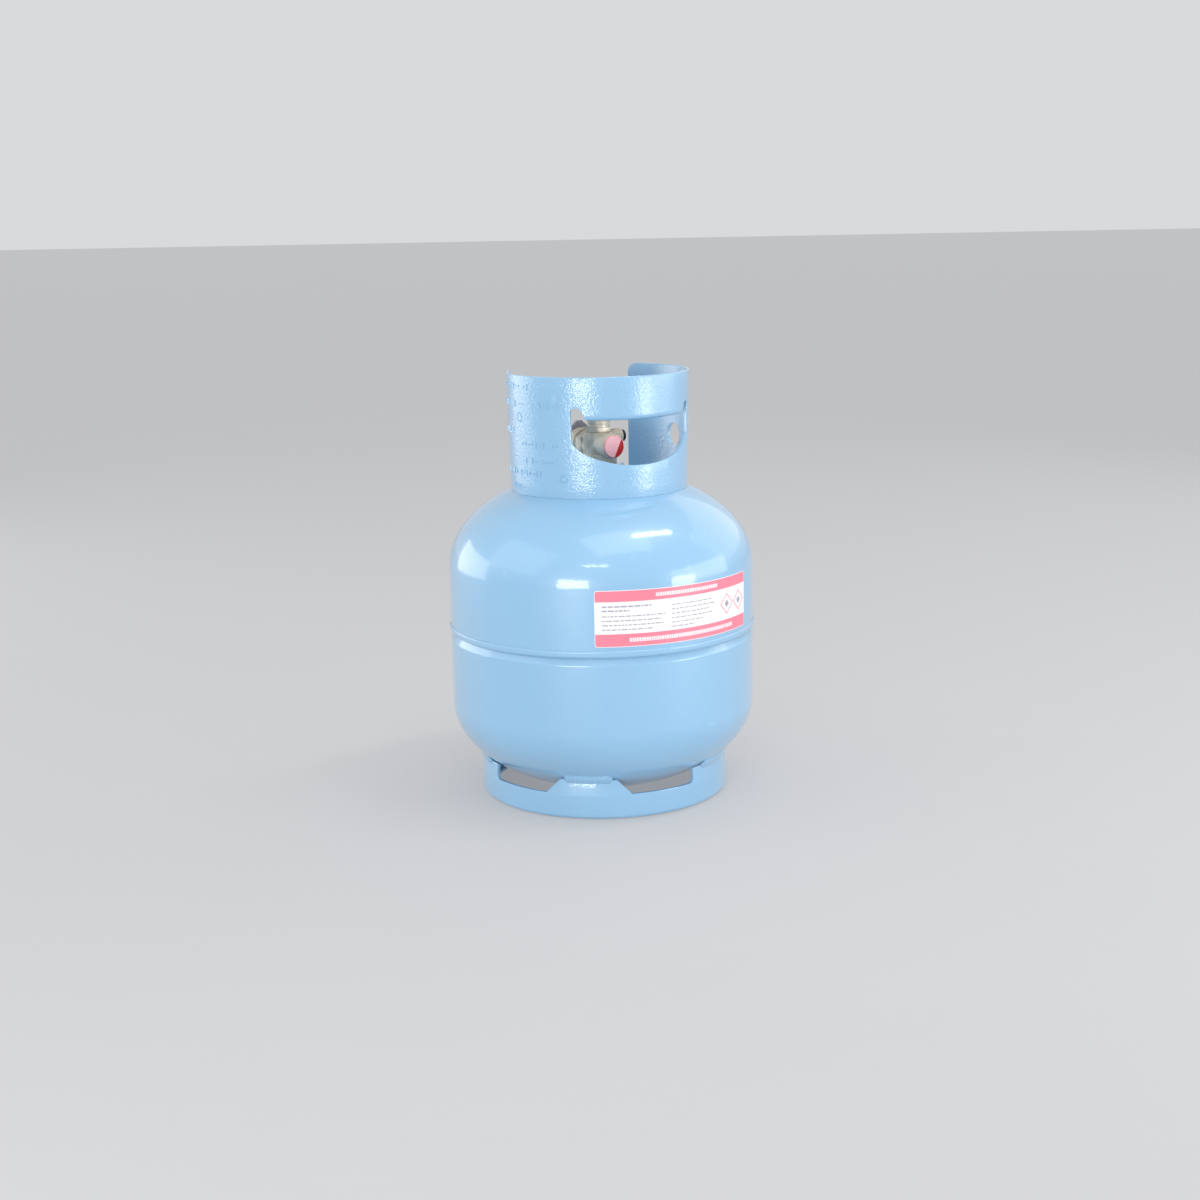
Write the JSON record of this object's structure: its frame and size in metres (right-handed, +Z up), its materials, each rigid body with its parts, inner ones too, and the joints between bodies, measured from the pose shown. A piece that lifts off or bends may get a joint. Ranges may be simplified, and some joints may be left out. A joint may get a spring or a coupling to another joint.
{
  "type": "propane tank",
  "caption": "Refillable steel gas cylinder with domed ends, slotted foot ring, carrying collar and a brass valve with handwheel, relief port and plugged outlet.",
  "frame": {"origin": "centre of the foot ring's underside, on the tank's axis", "axes": "+Z up along the tank's axis, -Y towards the front tab of the foot ring and the left edge of the label, +X to the right seen from the front"},
  "size_m": [0.262, 0.262, 0.361],
  "materials": {
    "tank_paint": "sky-blue gloss powder coat with a light orange peel",
    "weld_paint": "the same paint over a rippled weld bead",
    "label_print": "satin printed film, pink bands on white, no words",
    "brass": "dull forged and machined brass",
    "seal_rubber": "matt black seal rubber",
    "wheel_plastic": "black moulded plastic",
    "zinc_steel": "zinc-plated steel",
    "cap_plastic": "red moulded plastic, sun-faded on its face",
    "plug_plastic": "grey moulded plastic"
  },
  "bodies": {
    "cylinder": {"upper_shell": "tank_paint", "lower_shell": "tank_paint", "valve_boss": "tank_paint", "collar": "tank_paint", "foot_ring": "tank_paint", "girth_weld": "weld_paint", "boss_weld": "weld_paint", "collar_weld_left": "weld_paint", "collar_weld_front": "weld_paint", "collar_weld_right": "weld_paint", "foot_weld_front": "weld_paint", "foot_weld_right": "weld_paint", "foot_weld_back": "weld_paint", "foot_weld_left": "weld_paint", "safety_label": "label_print", "valve_body": "brass", "dip_tube": "brass", "bonnet": "brass", "stem_seal": "seal_rubber", "relief_adjuster": "brass"},
    "wheel": {"handwheel": "wheel_plastic", "valve_stem": "brass", "wheel_washer": "zinc_steel", "wheel_screw": "zinc_steel"},
    "seat": {"seat_disc": "seal_rubber"},
    "spindle": {"lower_spindle": "brass"},
    "relief": {"relief_poppet": "brass", "relief_seal": "seal_rubber", "relief_spring": "zinc_steel"},
    "relief_cap": {"relief_cap": "cap_plastic"},
    "bleed_tip": {"ullage_tip": "seal_rubber"},
    "bleed_screw": {"ullage_screw": "brass", "ullage_ring": "wheel_plastic"},
    "plug_nose": {"outlet_plug_seal": "seal_rubber"},
    "plug": {"outlet_plug": "plug_plastic"}
  },
  "joints": [
    {"name": "handwheel_turn", "type": "hinge", "parent": "cylinder", "child": "wheel", "pos_m": [0, 0, 0.33], "axis": [0, 0, 1], "range_deg": [0, 720]},
    {"name": "seat_lift", "type": "slide", "parent": "cylinder", "child": "seat", "axis": [0, 0, 1], "range_m": [0, 0.0035]},
    {"name": "spindle_turn", "type": "hinge", "parent": "seat", "child": "spindle", "pos_m": [0, 0, 0.3], "axis": [0, 0, 1], "range_deg": [0, 720.01]},
    {"name": "relief_lift", "type": "slide", "parent": "cylinder", "child": "relief", "axis": [0.4756, -0.8796, 0], "range_m": [0, 0.0015], "stiffness_N_per_m": 20000, "springref_m": -0.001},
    {"name": "relief_cap_pull", "type": "slide", "parent": "cylinder", "child": "relief_cap", "axis": [0.4756, -0.8796, 0], "range_m": [0, 0.02]},
    {"name": "bleed_advance", "type": "slide", "parent": "cylinder", "child": "bleed_tip", "axis": [0.8796, 0.4756, 0], "range_m": [0, 0.003]},
    {"name": "bleed_turn", "type": "hinge", "parent": "bleed_tip", "child": "bleed_screw", "pos_m": [0, 0, 0.304], "axis": [0.8796, 0.4756, 0], "range_deg": [0, 1080.5]},
    {"name": "plug_advance", "type": "slide", "parent": "cylinder", "child": "plug_nose", "axis": [-0.4756, 0.8796, 0], "range_m": [0, 0.01451]},
    {"name": "plug_turn", "type": "hinge", "parent": "plug_nose", "child": "plug", "pos_m": [0, 0, 0.2962], "axis": [0.4756, -0.8796, 0], "range_deg": [0, 2880.5]}
  ],
  "couplings": [
    {"joint": "seat_lift", "follows": "handwheel_turn", "m_per_rad": 0.00027852},
    {"joint": "spindle_turn", "follows": "handwheel_turn", "ratio": 1},
    {"joint": "bleed_turn", "follows": "bleed_advance", "rad_per_m": 6283.2},
    {"joint": "plug_turn", "follows": "plug_advance", "rad_per_m": 3463.2}
  ]
}
